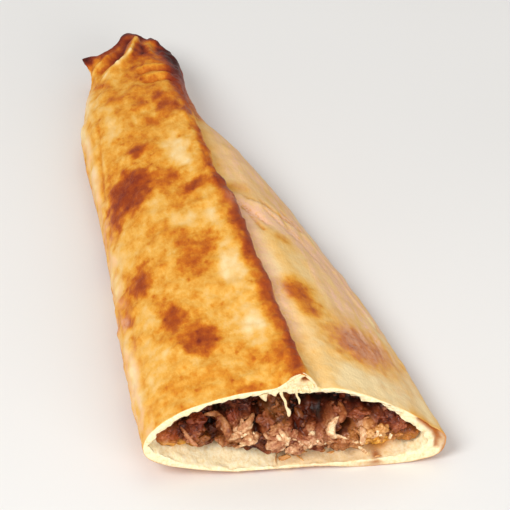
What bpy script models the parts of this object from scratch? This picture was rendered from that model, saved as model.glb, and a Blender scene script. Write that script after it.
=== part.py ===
# One cut half of a closed, boat-shaped flatbread (pide) with a minced filling.
#
# The half lies on its flat base with its length along Y: the cut end faces -Y and the pinched
# tip is at +Y.  Z is up.  Its two pieces are the dough, a domed crust round a lens-shaped
# hollow, and the filling that runs through the hollow and shows at the cut.
#
# Shape tables are in millimetres against the share of the length, 0 at the cut, 1 at the tip.

import math
import random

import bmesh
import bpy
from mathutils import Matrix, Vector, noise

MM = 0.001

# Overall sizes, millimetres.
LENGTH = 247.0
CUT_ANGLE = math.radians(8.7)
GAP = 0.3

# The outer shape along the length.
LEFT_HALF_WIDTH = ((0, 52), (.2, 48), (.4, 42), (.6, 36.8), (.72, 34.8), (.8, 32.2), (.92, 22.8), (.96, 20.6),
                   (1, 21.8))
RIGHT_HALF_WIDTH = ((0, 53), (.2, 48), (.3, 44.8), (.4, 40), (.6, 30.2), (.7, 23.5), (.75, 18), (.8, 14.4),
                    (.88, 13.4), (1, 12.4))
CROWN_HEIGHT = ((0, 39), (.2, 38), (.4, 36), (.6, 32.5), (.76, 28.5), (.88, 24), (.96, 20), (1, 17.5))
BASE_LIFT = ((0, 0), (.84, 0), (.93, 3), (1, 9))
LEFT_EDGE_HEIGHT = ((0, 15.5), (.3, 12), (.6, 10), (.85, 9), (1, 13.5))
RIGHT_EDGE_HEIGHT = ((0, 11), (.3, 10), (.6, 9), (.85, 8.5), (1, 12))
LEFT_TURN_UP = 1.1
RIGHT_TURN_UP = 2.4
# 0 where the right side slopes away, 1 where it drops straight from the seam.
RIGHT_DROP = ((0, 0), (.72, 0), (.82, 1), (1, 1))
FLAT_MARGIN = 1.0

# The seam: where it runs, how high its lip stands, and the lip's reach on both sides.
SEAM_OFFSET = ((0, 3.4), (.1, 5), (.2, 6), (.4, 6.5), (.6, 7), (.8, 9), (.9, 10.5), (1, 10.5))
LIP_HEIGHT = ((0, 5.6), (.05, 4.2), (.12, 3.2), (.4, 3.4), (.47, 4.2), (.6, 3.4), (.75, 2.6), (.9, 1.5),
              (1, 0))
LIP_START = ((0, -11), (.1, -18), (1, -18))
LIP_CREST = -0.8
LIP_FOOT = ((0, 6.4), (.1, 3.0), (1, 2.6))
TROUGH_DEPTH = 1.2
TROUGH_END = (5, 11)

# How far the pinched end falls short of the full length, against the share of the half width.
END_OUTLINE = ((-1, -6.5), (-.8, -7.2), (-.5, -5.6), (-.25, -.6), (-.08, 0), (.08, -.6), (.34, -4.6), (.48, -4),
               (.62, -7.5), (.8, -12), (1, -21))
END_BULGE = 1.5
END_START = 8

# Folds pressed into the crust: from, to, width and height, a groove being lower than zero.
FOLDS = (
    ((-0.5, 240), (-17, 220), 2.6, 1.8),
    ((-6, 242), (-21, 226), 2.6, -1.3),
    ((6, 238), (-6, 222), 3.0, -1.0),
    ((-4, 212.5), (6, 210), 1.8, -0.8),
    ((-3, 204), (6, 201.5), 1.8, -0.7),
    ((10, 226), (8, 207), 2.2, -0.7),
    ((-24, 232), (-22, 214), 2.0, -0.8),
    ((9.5, 119), (30, 104), 2.6, 1.3),
    ((10.5, 111), (17, 100), 2.2, -1.1),
    ((22, 115), (29, 107), 2.0, -0.7),
    ((48, 0), (45.5, 34), 1.5, -1.1),
)
WAVE_HEIGHT = 0.8
WAVE_LENGTH = 26.0

# The hollow inside the crust.
ROOF = 3.0
FLOOR = 5.0
LEFT_WALL = 6.5
RIGHT_WALL = 7.5
HOLLOW_RIM_SHARE = .45
HOLLOW_ROUNDING = 2.2
HOLLOW_TAPER = .66
HOLLOW_END = .85
HOLLOW_BLUNT = .03
MOUTH_OVERSHOOT = 8.0

# The face of the filling, set back from the cut.
RECESS = 2.2
LEFT_RECESS = 6.6
RIGHT_RECESS = 2.5
TOP_RECESS = 12.0
CAVE_PLACE = (7, 19)
CAVE_SIZE = (9, 8)
CAVE_DEPTH = 7.0

FACE_CENTRE = (-1, 18)
FACE_WIDTH = (-44, 44)
FACE_HEIGHT = (5, 35)
FACE_ROUGHNESS = 2.2
FACE_RINGS = 6
FRONT_STEPS = 3

# Crumbs of mince and shreds of onion on that face.
CRUMBS = 54
CRUMB_SIZE = (1.5, 3.3)
CRUMB_ROOM = 1.3
CRUMB_PROUD = 0.3
PLACE_TRIES = 40
RIM_SHARE = .06
RIM_STEPS = 36
SHREDS = 8
SHRED_LENGTH = 9.0
SHRED_RADIUS = 0.9
SHRED_BEND = (1.0, 3.2)
SEED = 11

# Mesh steps: round the section, along the length, and rings that close an end.  The closeness
# draws the steps together at the seam and at the ends.
SEAM_CLOSENESS = .5
END_CLOSENESS = .35
ROUND_STEPS = 60
LENGTH_STEPS = 46
END_RINGS = 3
HOLLOW_ROUND_STEPS = 40
HOLLOW_LENGTH_STEPS = 20


def curve(points, at):
    """Smooth value through (place, value) points, without overshoot."""
    if at <= points[0][0]:
        return points[0][1]
    if at >= points[-1][0]:
        return points[-1][1]
    last = len(points) - 1
    span = next(i for i in range(last) if at <= points[i + 1][0])

    def rate(i):
        return (points[i + 1][1] - points[i][1]) / (points[i + 1][0] - points[i][0])

    def slope(i):
        if i == 0 or i == last:
            return rate(min(i, last - 1))
        before, after = rate(i - 1), rate(i)
        return 0 if before * after <= 0 else 2 * before * after / (before + after)

    (x0, y0), (x1, y1) = points[span], points[span + 1]
    u = (at - x0) / (x1 - x0)
    tangents = (u ** 3 - 2 * u * u + u) * slope(span) + (u ** 3 - u * u) * slope(span + 1)
    return y0 + (y1 - y0) * (3 * u * u - 2 * u ** 3) + (x1 - x0) * tangents


def ease(start, end, value):
    """0 before start, 1 after end, smooth between."""
    u = min(1, max(0, (value - start) / (end - start)))
    return u * u * (3 - 2 * u)


def blend(a, b, share):
    return a + (b - a) * share


def fold_height(x, y):
    """Sum of the folds' ridges and grooves at a place on the crust."""
    total = 0
    for (x0, y0), (x1, y1), width, height in FOLDS:
        dx, dy = x1 - x0, y1 - y0
        along = ((x - x0) * dx + (y - y0) * dy) / (dx * dx + dy * dy)
        along = min(1, max(0, along))
        away = math.hypot(x - x0 - along * dx, y - y0 - along * dy)
        total += height * math.exp(-(away / width) ** 2)
    return total


def lip_height(distance, share):
    """Height of the seam's lip at a distance across it; the trough lies right of the lip."""
    drop = ease(LIP_CREST, curve(LIP_FOOT, share), distance)
    lip = ease(curve(LIP_START, share), LIP_CREST, distance) * (1 - drop)
    trough = drop * (1 - ease(*TROUGH_END, distance)) * (1 - ease(.8, .95, share))
    return curve(LIP_HEIGHT, share) * lip - TROUGH_DEPTH * trough


def top_height(x, share, plain=False):
    """Height of the crust's upper side; the plain one has no lip, folds or waves."""
    reach = curve(RIGHT_HALF_WIDTH if x >= 0 else LEFT_HALF_WIDTH, share)
    edge = curve(RIGHT_EDGE_HEIGHT if x >= 0 else LEFT_EDGE_HEIGHT, share)
    arch = math.sqrt(max(0, 1 - (x / reach) ** 2))
    bow = arch ** 1.05
    if x >= 0:
        bow = blend(.8 * arch ** 2.3 + .2 * arch ** .8, arch ** .8, curve(RIGHT_DROP, share))
    height = edge + (curve(CROWN_HEIGHT, share) - edge) * bow
    if not plain:
        y = LENGTH * share
        wave = noise.noise(Vector((x / WAVE_LENGTH, y / WAVE_LENGTH / 1.4, 3)))
        height += lip_height(x - curve(SEAM_OFFSET, share), share)
        height += arch * (fold_height(x, y) + WAVE_HEIGHT * wave)
    return height


def base_height(x, share):
    """Height of the crust's underside, flat in the middle and turned up at the edges."""
    reach = curve(RIGHT_HALF_WIDTH if x >= 0 else LEFT_HALF_WIDTH, share)
    edge = curve(RIGHT_EDGE_HEIGHT if x >= 0 else LEFT_EDGE_HEIGHT, share)
    arch = math.sqrt(max(0, 1 - (x / reach) ** 2))
    lift = curve(BASE_LIFT, share)
    turn_up = (1 - arch) ** (RIGHT_TURN_UP if x >= 0 else LEFT_TURN_UP)
    return lift + max(0, (edge - lift) * turn_up - FLAT_MARGIN * (1 - ease(.8, .95, share)))


def crust_point(angle, share):
    """Point of the outer surface; angle 0 is the seam, +-90 degrees the edges, 180 the base."""
    left, right = curve(LEFT_HALF_WIDTH, share), curve(RIGHT_HALF_WIDTH, share)
    seam = curve(SEAM_OFFSET, share)
    across = math.sin(angle)
    x = seam + across * (right - seam if across >= 0 else left + seam)
    side = x / right if x >= 0 else x / left
    y = LENGTH * share - x * math.tan(CUT_ANGLE) * (1 - share) ** 2
    y += curve(END_OUTLINE, side) * share ** END_START
    z = top_height(x, share) if math.cos(angle) >= 0 else base_height(x, share)
    return Vector((x, y, z))


def hollow_point(angle, share, inset=0.0):
    """Point of the hollow's lens-shaped surface, or of a body inset from it."""
    left = curve(LEFT_HALF_WIDTH, share) - LEFT_WALL - inset
    right = curve(RIGHT_HALF_WIDTH, share) - RIGHT_WALL - inset
    middle, half = (right - left) / 2, (right + left) / 2
    across, up = math.sin(angle), math.cos(angle)
    x = middle + across * half
    roof = top_height(x, share, plain=True) - ROOF - inset
    floor = base_height(x, share) + FLOOR + inset
    rim = blend(floor, roof, HOLLOW_RIM_SHARE)
    z = blend(rim, roof if up >= 0 else floor, 1 - (1 - abs(up)) ** HOLLOW_ROUNDING)
    past = max(0, (share - HOLLOW_TAPER) / (HOLLOW_END - HOLLOW_TAPER))
    closing = math.sqrt(max(HOLLOW_BLUNT, 1 - past * past))
    x = middle + (x - middle) * closing
    centre = (curve(CROWN_HEIGHT, share) + FLOOR) / 2
    z = centre + (z - centre) * closing
    return Vector((x, LENGTH * share - x * math.tan(CUT_ANGLE) * (1 - share) ** 2, z))


def recess(x, z):
    """How far the filling's face lies behind the cut."""
    depth = RECESS + LEFT_RECESS * ease(-4, -24, x) + RIGHT_RECESS * ease(20, 40, x)
    depth += TOP_RECESS * ease(12, 32, z)
    cave = ((x - CAVE_PLACE[0]) / CAVE_SIZE[0]) ** 2 + ((z - CAVE_PLACE[1]) / CAVE_SIZE[1]) ** 2
    return depth + CAVE_DEPTH * math.exp(-cave)


def cut_plane_y(x):
    return -x * math.tan(CUT_ANGLE)


def material(name, colour, roughness):
    """Plain Principled material."""
    made = bpy.data.materials.new(name)
    made.use_nodes = True
    shader = made.node_tree.nodes["Principled BSDF"]
    shader.inputs["Base Color"].default_value = (*colour, 1)
    shader.inputs["Roughness"].default_value = roughness
    shader.inputs["Metallic"].default_value = 0
    made.diffuse_color = (*colour, 1)
    return made


def add_object(name, mesh_data, collection, surface=None):
    """Object from a bmesh, in millimetres, scaled to metres."""
    mesh_data.transform(Matrix.Scale(MM, 4))
    bmesh.ops.recalc_face_normals(mesh_data, faces=mesh_data.faces)
    mesh = bpy.data.meshes.new(name)
    mesh_data.to_mesh(mesh)
    mesh_data.free()
    if surface:
        mesh.materials.append(surface)
    made = bpy.data.objects.new(name, mesh)
    collection.objects.link(made)
    return made


def seam_spacing(round_share):
    """Angle for a share of the way round, with the steps drawn together at the seam."""
    even = (round_share * 2 - 1) * math.pi
    return even - SEAM_CLOSENESS * math.sin(2 * even) / 2


def end_spacing(share):
    """Share of the length, with the steps drawn together at both ends."""
    return share - END_CLOSENESS * math.sin(2 * math.pi * share) / (2 * math.pi)


def loft(round_steps, length_steps, place):
    """Closed body: a grid rolled up by place(round share, length step), its end rings capped."""
    body = bmesh.new()
    bmesh.ops.create_grid(body, x_segments=round_steps, y_segments=length_steps, size=.5)
    for vertex in body.verts:
        step = round((vertex.co.y + .5) * length_steps)
        vertex.co = place(vertex.co.x + .5, step)
    bmesh.ops.remove_doubles(body, verts=body.verts, dist=.01)
    open_edges = [edge for edge in body.edges if edge.is_boundary]
    if open_edges:
        bmesh.ops.holes_fill(body, edges=open_edges, sides=0)
    return body


def crust_body():
    """The outer body of the dough, its tip pinched to a blunt wavy edge."""
    def place(round_share, step):
        angle = seam_spacing(round_share)
        share = end_spacing(min(1, step / LENGTH_STEPS))
        point = crust_point(angle, share)
        if step > LENGTH_STEPS:
            opposite = crust_point(math.pi - angle, 1)
            closed = (step - LENGTH_STEPS) / END_RINGS
            middle = (point + opposite) / 2
            point = point.lerp(middle, closed)
            point.y += END_BULGE * math.sin(closed * math.pi / 2)
        return point

    return loft(ROUND_STEPS, LENGTH_STEPS + END_RINGS, place)


def hollow_body():
    """The cutter for the hollow, which reaches out past the cut."""
    def place(round_share, step):
        angle = (round_share * 2 - 1) * math.pi
        if step == 0:
            return hollow_point(angle, 0) - Vector((0, MOUTH_OVERSHOOT, 0))
        share = HOLLOW_END * (step - 1) / (HOLLOW_LENGTH_STEPS - 1)
        return hollow_point(angle, share)

    return loft(HOLLOW_ROUND_STEPS, HOLLOW_LENGTH_STEPS, place)


def filling_point(angle, share):
    """Point of the filling's skin, a gap inside the hollow."""
    return hollow_point(angle, min(share, HOLLOW_END - GAP * 1.2 / LENGTH), inset=GAP * 1.2)


def face_point(angle, scale):
    """Point of the filling's face, from its centre at scale 0 to its rim at scale 1."""
    rim = filling_point(angle, .03)
    x, z = blend(FACE_CENTRE[0], rim.x, scale), blend(FACE_CENTRE[1], rim.z, scale)
    rough = noise.noise(Vector((x / 6, z / 5, 9))) * FACE_ROUGHNESS * (1 - scale ** 6)
    return Vector((x, cut_plane_y(x) + recess(x, z) + rough, z))


def filling_core():
    """The filling, with an uneven face set back from the cut."""
    skin_start = HOLLOW_END * 3 / (HOLLOW_LENGTH_STEPS - 1)
    skin_steps = HOLLOW_LENGTH_STEPS - 4

    def place(round_share, step):
        angle = (round_share * 2 - 1) * math.pi
        if step < FACE_RINGS:
            return face_point(angle, step / FACE_RINGS)
        step -= FACE_RINGS
        if step >= FRONT_STEPS:
            skin_share = (step - FRONT_STEPS) / (skin_steps - 1)
            return filling_point(angle, blend(skin_start, HOLLOW_END, skin_share))
        front, back = face_point(angle, 1), filling_point(angle, skin_start)
        depth = front.y - cut_plane_y(front.x)
        share = skin_start * depth / (back.y - cut_plane_y(back.x))
        return filling_point(angle, blend(share, skin_start, step / FRONT_STEPS))

    return loft(HOLLOW_ROUND_STEPS, FACE_RINGS + FRONT_STEPS + skin_steps - 1, place)


def crumb(draw, place, size):
    """One rounded, uneven crumb of mince."""
    body = bmesh.new()
    bmesh.ops.create_icosphere(body, subdivisions=1, radius=1)
    axis = Vector((draw.random(), draw.random(), 1))
    turn = Matrix.Rotation(draw.uniform(0, math.pi), 3, axis)
    stretch = Matrix.Diagonal((draw.uniform(.8, 1.3), draw.uniform(.7, 1), draw.uniform(.6, .9)))
    for vertex in body.verts:
        vertex.co = place + turn @ stretch @ vertex.co * size * draw.uniform(.85, 1.15)
    return body


def shred(draw, place):
    """One bent shred of onion, thinner towards its ends, lying across the face of the filling."""
    body = bmesh.new()
    bmesh.ops.create_cone(body, cap_ends=True, segments=6, radius1=1, radius2=1, depth=2)
    sides = [edge for edge in body.edges if abs(edge.verts[0].co.z - edge.verts[1].co.z) > 1]
    bmesh.ops.subdivide_edges(body, edges=sides, cuts=4, use_grid_fill=True)
    turn = Matrix.Rotation(draw.uniform(0, math.pi), 3, "Y")
    bend = draw.uniform(*SHRED_BEND)
    radius = SHRED_RADIUS * draw.uniform(.8, 1.25)
    for vertex in body.verts:
        along = vertex.co.z
        thin = radius * (1 - .5 * along * along)
        spread = Vector((0, vertex.co.x * thin, vertex.co.y * thin * .7))
        middle = Vector((along * SHRED_LENGTH / 2, 0, bend * along * along))
        vertex.co = place + turn @ (middle + spread)
    return body


def room_to_rim(x, z, rim):
    """Distance from a place on the filling's face to the crust round it."""
    nearest = math.inf
    for start, end in zip(rim, rim[1:] + rim[:1]):
        dx, dz = end.x - start.x, end.z - start.z
        nearest = min(nearest, ((z - start.z) * dx - (x - start.x) * dz) / -math.hypot(dx, dz))
    return nearest


def face_places(draw, clearances):
    """Evenly spread places on the filling's face, each with its own clearance from the crust."""
    rim = [filling_point(2 * math.pi * step / RIM_STEPS, RIM_SHARE) for step in range(RIM_STEPS)]
    places = []
    for clearance in clearances:
        best, best_room = None, -1
        for _ in range(PLACE_TRIES):
            x, z = draw.uniform(*FACE_WIDTH), draw.uniform(*FACE_HEIGHT)
            if room_to_rim(x, z, rim) < clearance:
                continue
            room = min([math.hypot(x - p.x, z - p.z) for p in places] or [math.inf])
            if room > best_room:
                best, best_room = (x, z), room
        if best:
            x, z = best
            places.append(Vector((x, cut_plane_y(x) + recess(x, z) - CRUMB_PROUD, z)))
    return places


def boolean(target, operation, **operand):
    """Applied Boolean on a target object."""
    modifier = target.modifiers.new(operation.lower(), "BOOLEAN")
    modifier.operation = operation
    for key, value in operand.items():
        setattr(modifier, key, value)
    depsgraph = bpy.context.evaluated_depsgraph_get()
    mesh = bpy.data.meshes.new_from_object(target.evaluated_get(depsgraph))
    target.modifiers.remove(modifier)
    target.data = mesh


def largest_body(target):
    """Drops loose scraps and leaves the largest connected body."""
    mesh = bmesh.new()
    mesh.from_mesh(target.data)
    left = set(mesh.verts)
    bodies = []
    while left:
        reached, queue = set(), [left.pop()]
        while queue:
            vertex = queue.pop()
            reached.add(vertex)
            for edge in vertex.link_edges:
                other = edge.other_vert(vertex)
                if other in left:
                    left.remove(other)
                    queue.append(other)
        bodies.append(reached)
    keep = max(bodies, key=len)
    bmesh.ops.delete(mesh, geom=[v for v in mesh.verts if v not in keep], context="VERTS")
    mesh.to_mesh(target.data)
    mesh.free()


def build_dough(collection, cutters):
    crust = material("crust", (.76, .45, .16), .55)
    body = crust_body()
    base = [face for face in body.faces if all(vertex.co.z == 0 for vertex in face.verts)]
    base_verts = list({vertex for face in base for vertex in face.verts})
    base_edges = list({edge for face in base for edge in face.edges})
    bmesh.ops.dissolve_limit(body, angle_limit=math.radians(.2), verts=base_verts, edges=base_edges)
    dough = add_object("dough", body, collection, crust)
    hollow = add_object("hollow_cutter", hollow_body(), cutters)
    hollow.hide_render = True
    hollow.display_type = "WIRE"
    boolean(dough, "DIFFERENCE", object=hollow)
    return dough


def build_filling(collection):
    mince = material("mince", (.30, .14, .06), .6)
    filling = add_object("filling", filling_core(), collection, mince)
    lumps = bpy.data.collections.new("lumps")
    bpy.context.scene.collection.children.link(lumps)
    draw = random.Random(SEED)
    sizes = sorted((draw.uniform(*CRUMB_SIZE) for _ in range(CRUMBS)), reverse=True)
    for size, place in zip(sizes, face_places(draw, [size * CRUMB_ROOM for size in sizes])):
        add_object("lump", crumb(draw, place, size), lumps)
    for place in face_places(draw, [SHRED_LENGTH / 2 + 1] * SHREDS):
        add_object("lump", shred(draw, place), lumps)
    boolean(filling, "UNION", operand_type="COLLECTION", collection=lumps, use_self=True)
    for lump in list(lumps.objects):
        bpy.data.objects.remove(lump)
    bpy.data.collections.remove(lumps)
    largest_body(filling)
    return filling


def centre_on_base(objects):
    """Moves the part so that its origin is the middle of its bounding box's underside."""
    corners = [vertex.co for made in objects for vertex in made.data.vertices]
    low = Vector(min(corner[axis] for corner in corners) for axis in range(3))
    high = Vector(max(corner[axis] for corner in corners) for axis in range(3))
    shift = Vector((-(low.x + high.x) / 2, -(low.y + high.y) / 2, -low.z))
    for made in objects:
        made.data.transform(Matrix.Translation(shift))


def main():
    for old in list(bpy.data.objects):
        bpy.data.objects.remove(old)
    collection = bpy.data.collections.new("pide_half")
    cutters = bpy.data.collections.new("cutters")
    for made in (collection, cutters):
        bpy.context.scene.collection.children.link(made)
    dough = build_dough(collection, cutters)
    filling = build_filling(collection)
    centre_on_base((dough, filling))


main()
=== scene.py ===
import math
import random

import bmesh
import bpy
import numpy as np
from mathutils import Matrix, Vector, noise


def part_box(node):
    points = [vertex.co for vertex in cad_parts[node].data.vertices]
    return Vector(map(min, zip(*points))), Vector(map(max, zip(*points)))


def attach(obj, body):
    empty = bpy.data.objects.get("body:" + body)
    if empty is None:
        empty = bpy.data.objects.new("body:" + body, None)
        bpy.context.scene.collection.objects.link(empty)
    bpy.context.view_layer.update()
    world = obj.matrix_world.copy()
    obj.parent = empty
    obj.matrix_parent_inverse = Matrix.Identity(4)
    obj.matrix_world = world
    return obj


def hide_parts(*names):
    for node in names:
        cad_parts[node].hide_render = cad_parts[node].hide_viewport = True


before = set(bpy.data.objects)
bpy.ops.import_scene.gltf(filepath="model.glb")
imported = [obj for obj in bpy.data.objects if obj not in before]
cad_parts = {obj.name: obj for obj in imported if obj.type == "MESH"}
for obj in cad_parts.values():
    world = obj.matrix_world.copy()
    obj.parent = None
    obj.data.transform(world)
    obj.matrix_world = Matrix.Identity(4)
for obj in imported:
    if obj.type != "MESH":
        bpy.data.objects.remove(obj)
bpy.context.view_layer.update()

# The half of a stuffed flatbread: crust, filling, then the stage.
# Shapes are in millimetres, with the cut's middle at the origin, and become metres at the end.

mm = 0.001

outline = {
    "length": 247,
    "cutSlant": math.tan(math.radians(8.7)),
    # against the share of the length, 0 at the cut and 1 at the tip
    "left": ((0, 52), (.2, 48), (.4, 42), (.6, 36.8), (.72, 34.8), (.8, 32.2), (.92, 22.8), (.96, 20.6),
             (1, 21.8)),
    "right": ((0, 53), (.2, 48), (.3, 44.8), (.4, 40), (.6, 30.2), (.7, 23.5), (.75, 18), (.8, 14.4),
              (.88, 13.4), (1, 12.4)),
    # 0 where the right side slopes away, 1 where it drops straight from the seam
    "rightDrop": ((0, 0), (.72, 0), (.82, 1), (1, 1)),
    "crown": ((0, 39), (.2, 38), (.4, 36), (.6, 32.5), (.76, 28.5), (.88, 24), (.96, 20), (1, 17.5)),
    "lift": ((0, 0), (.84, 0), (.93, 3), (1, 9)),
    "leftEdge": ((0, 15.5), (.3, 12), (.6, 10), (.85, 9), (1, 13.5)),
    "rightEdge": ((0, 11), (.3, 10), (.6, 9), (.85, 8.5), (1, 12)),
    # how sharply each side of the underside curls up to its edge
    "leftCurl": 1.1,
    "rightCurl": 2.4,
    # how far the pinched end falls short, against the share of the half width
    "end": ((-1, -6), (-.9, -6), (-.75, -7.4), (-.5, -5.6), (-.3, -1.4), (-.17, 2), (-.06, 2.4), (.08, .9),
            (.22, -1.8), (.34, -5), (.48, -4), (.62, -7.5), (.8, -12), (1, -21)),
}

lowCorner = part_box("dough")[0]
frameShift = Vector((
    lowCorner[0] + outline["left"][0][1] * mm,
    lowCorner[1] + outline["right"][0][1] * outline["cutSlant"] * mm,
    lowCorner[2],
))


def curve(points, at):
    # smooth value through (place, value) points, without overshoot
    places, values = np.array(points, float).T
    rates = np.diff(values) / np.diff(places)
    before, after = rates[:-1], rates[1:]
    agree = before * after > 0
    middle = np.where(agree, 2 * before * after / np.where(agree, before + after, 1), 0)
    slopes = np.concatenate(([rates[0]], middle, [rates[-1]]))
    at = np.clip(at, places[0], places[-1])
    span = np.clip(np.searchsorted(places, at, side="right") - 1, 0, len(rates) - 1)
    width = np.diff(places)[span]
    u = (at - places[span]) / width
    tangents = (u ** 3 - 2 * u * u + u) * slopes[span] + (u ** 3 - u * u) * slopes[span + 1]
    return values[span] + (values[span + 1] - values[span]) * (3 * u * u - 2 * u ** 3) + width * tangents


def ease(start, end, value):
    u = np.clip((value - start) / (end - start), 0, 1)
    return u * u * (3 - 2 * u)


def bell(distance):
    return np.exp(-distance ** 2)


def blot(x, y, centre, width, length):
    # 1 at the centre of a soft round patch, fading over the given distances
    return bell(np.hypot((x - centre[0]) / width, (y - centre[1]) / length))


def awayFrom(x, y, x0, y0, x1, y1):
    # distance from a straight stretch
    dx, dy = x1 - x0, y1 - y0
    along = np.clip(((x - x0) * dx + (y - y0) * dy) / (dx * dx + dy * dy), 0, 1)
    return np.hypot(x - x0 - along * dx, y - y0 - along * dy)


def nearLine(points, x, y, width):
    # 1 on a bent line, fading over the given width
    return np.max([bell(awayFrom(x, y, *a, *b) / width) for a, b in zip(points, points[1:])], axis=0)


def noiseAt(x, y, z, size, seed=0.0):
    # smooth noise of about -0.6 to 0.6 with lumps of one size, or one for each axis
    sizes = size if isinstance(size, tuple) else (size,) * 3
    x, y, z = np.broadcast_arrays(x, y, z)
    places = zip((x / sizes[0] + seed).ravel(), (y / sizes[1] + seed * 2).ravel(), (z / sizes[2]).ravel())
    return np.array([noise.noise(place) for place in places]).reshape(x.shape)


def patchSum(patches, x, y, stirX, stirY):
    # soft elongated patches
    total = np.zeros_like(x)
    for px, py, halfWidth, halfLength, strength, *turn in patches:
        angle = math.radians(sum(turn))
        c, s = math.cos(angle), math.sin(angle)
        across = ((x - px) * c + (y - py) * s) / halfWidth + stirX
        along = ((y - py) * c - (x - px) * s) / halfLength + stirY
        total += strength * bell(np.hypot(across, along) ** 1.5)
    return total


def colour(*screen):
    # red, green and blue from 0 to 255 as the linear colour that a socket takes
    shares = [value / 255 for value in screen]
    return *(v / 12.92 if v <= .04045 else ((v + .055) / 1.055) ** 2.4 for v in shares), 1.0


class Wire:
    # a socket on which Python's operators make Math nodes
    def __init__(self, paint, socket):
        self.paint = paint
        self.socket = socket

    def maths(self, operation, *values, clamp=False):
        settings = {"operation": operation, "use_clamp": clamp}
        return self.paint.make("ShaderNodeMath", settings, dict(enumerate(values)))

    def __add__(self, other):
        return self.maths("ADD", self, other)

    __radd__ = __add__

    def __sub__(self, other):
        return self.maths("SUBTRACT", self, other)

    def __rsub__(self, other):
        return self.maths("SUBTRACT", other, self)

    def __mul__(self, other):
        return self.maths("MULTIPLY", self, other)

    __rmul__ = __mul__

    def clamped(self):
        return self.maths("ADD", self, 0, clamp=True)


class Paint:
    # a material and its nodes; fixed values go straight on the shader's sockets
    def __init__(self, name, **fixed):
        self.material = bpy.data.materials.new(name)
        self.material.use_nodes = True
        self.tree = self.material.node_tree
        self.shader = self.tree.nodes["Principled BSDF"]
        for key, value in fixed.items():
            self.shader.inputs[key].default_value = value
        self.objectPlace = self.make("ShaderNodeTexCoord", {}, {}, "Object")
        self.grainPlace = self.objectPlace

    def make(self, kind, settings, sockets, output=0):
        node = self.tree.nodes.new(kind)
        for key, value in settings.items():
            if key == "stops":
                ramp = node.color_ramp
                while len(ramp.elements) < len(value):
                    ramp.elements.new(.5)
                for element, (position, *tint) in zip(ramp.elements, value):
                    element.position = position
                    element.color = colour(*tint)
            else:
                setattr(node, key, value)
        for key, value in sockets.items():
            if isinstance(value, Wire):
                self.tree.links.new(value.socket, node.inputs[key])
            else:
                node.inputs[key].default_value = value
        return Wire(self, node.outputs[output])

    def layer(self, name):
        return self.make("ShaderNodeAttribute", {"attribute_name": name}, {}, "Fac")

    def stretch(self, along):
        # textures from here on run longer along the length
        sockets = {0: self.objectPlace, 1: (1, 1 / along, 1)}
        self.grainPlace = self.make("ShaderNodeVectorMath", {"operation": "MULTIPLY"}, sockets)

    def noise(self, size, detail=3.0, roughness=.55):
        # lumps of about the given size in millimetres
        sockets = {"Vector": self.grainPlace, "Scale": 1 / (size * mm)}
        return self.make("ShaderNodeTexNoise", {}, {**sockets, "Detail": detail, "Roughness": roughness})

    def ramp(self, factor, stops):
        # each stop is a place from 0 to 1, then red, green and blue
        return self.make("ShaderNodeValToRGB", {"stops": stops}, {"Fac": factor})

    def between(self, start, end, value):
        # 0 below start, 1 above end
        sockets = {"Value": value, "From Min": start, "From Max": end}
        return self.make("ShaderNodeMapRange", {"interpolation_type": "SMOOTHSTEP"}, sockets)

    def mix(self, factor, first, second, blend="MIX"):
        settings = {"data_type": "RGBA", "blend_type": blend}
        return self.make("ShaderNodeMix", settings, {0: factor, 6: first, 7: second}, 2)

    def bump(self, height, depth):
        # height from 0 to 1 stands for a depth in millimetres
        self.feed("Normal", self.make("ShaderNodeBump", {}, {"Height": height, "Distance": depth * mm}))

    def feed(self, key, wire):
        self.tree.links.new(wire.socket, self.shader.inputs[key])


def newShape(keys):
    # an empty bmesh and its layers of a value for each vertex
    shape = bmesh.new()
    return shape, [shape.verts.layers.float.new(key) for key in keys]


def addObject(name, data):
    added = bpy.data.objects.new(name, data)
    bpy.context.scene.collection.objects.link(added)
    return added


def meshOf(name, shape, paint):
    mesh = bpy.data.meshes.new(name)
    shape.to_mesh(mesh)
    shape.free()
    mesh.materials.append(paint.material)
    return mesh


def finishPiece(name, shape, paint):
    # a bmesh in the shape's own millimetres becomes a piece that rides on the part
    bmesh.ops.recalc_face_normals(shape, faces=shape.faces)
    shape.transform(Matrix.Translation(frameShift) @ Matrix.Scale(mm, 4))
    mesh = meshOf(name, shape, paint)
    mesh.shade_smooth()
    piece = addObject(name, mesh)
    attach(piece, "root")
    print(name, len(mesh.polygons), "faces")
    return piece


def rolledSheet(places, layers):
    # a grid rolled up by places in rows and columns, with its layers' values
    rows, columns = places.shape[0] - 1, places.shape[1] - 1
    sheet, shades = newShape(layers)
    bmesh.ops.create_grid(sheet, x_segments=columns, y_segments=rows, size=.5)
    for vertex in sheet.verts:
        row = round((vertex.co.y + .5) * rows)
        column = round((vertex.co.x + .5) * columns)
        vertex.co = places[row, column]
        for shade, values in zip(shades, layers.values()):
            vertex[shade] = values[row, column]
    bmesh.ops.remove_doubles(sheet, verts=sheet.verts, dist=.01)
    return sheet


# The crust: one sheet from the hollow's end over the cut and the outside to the tip.

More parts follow.
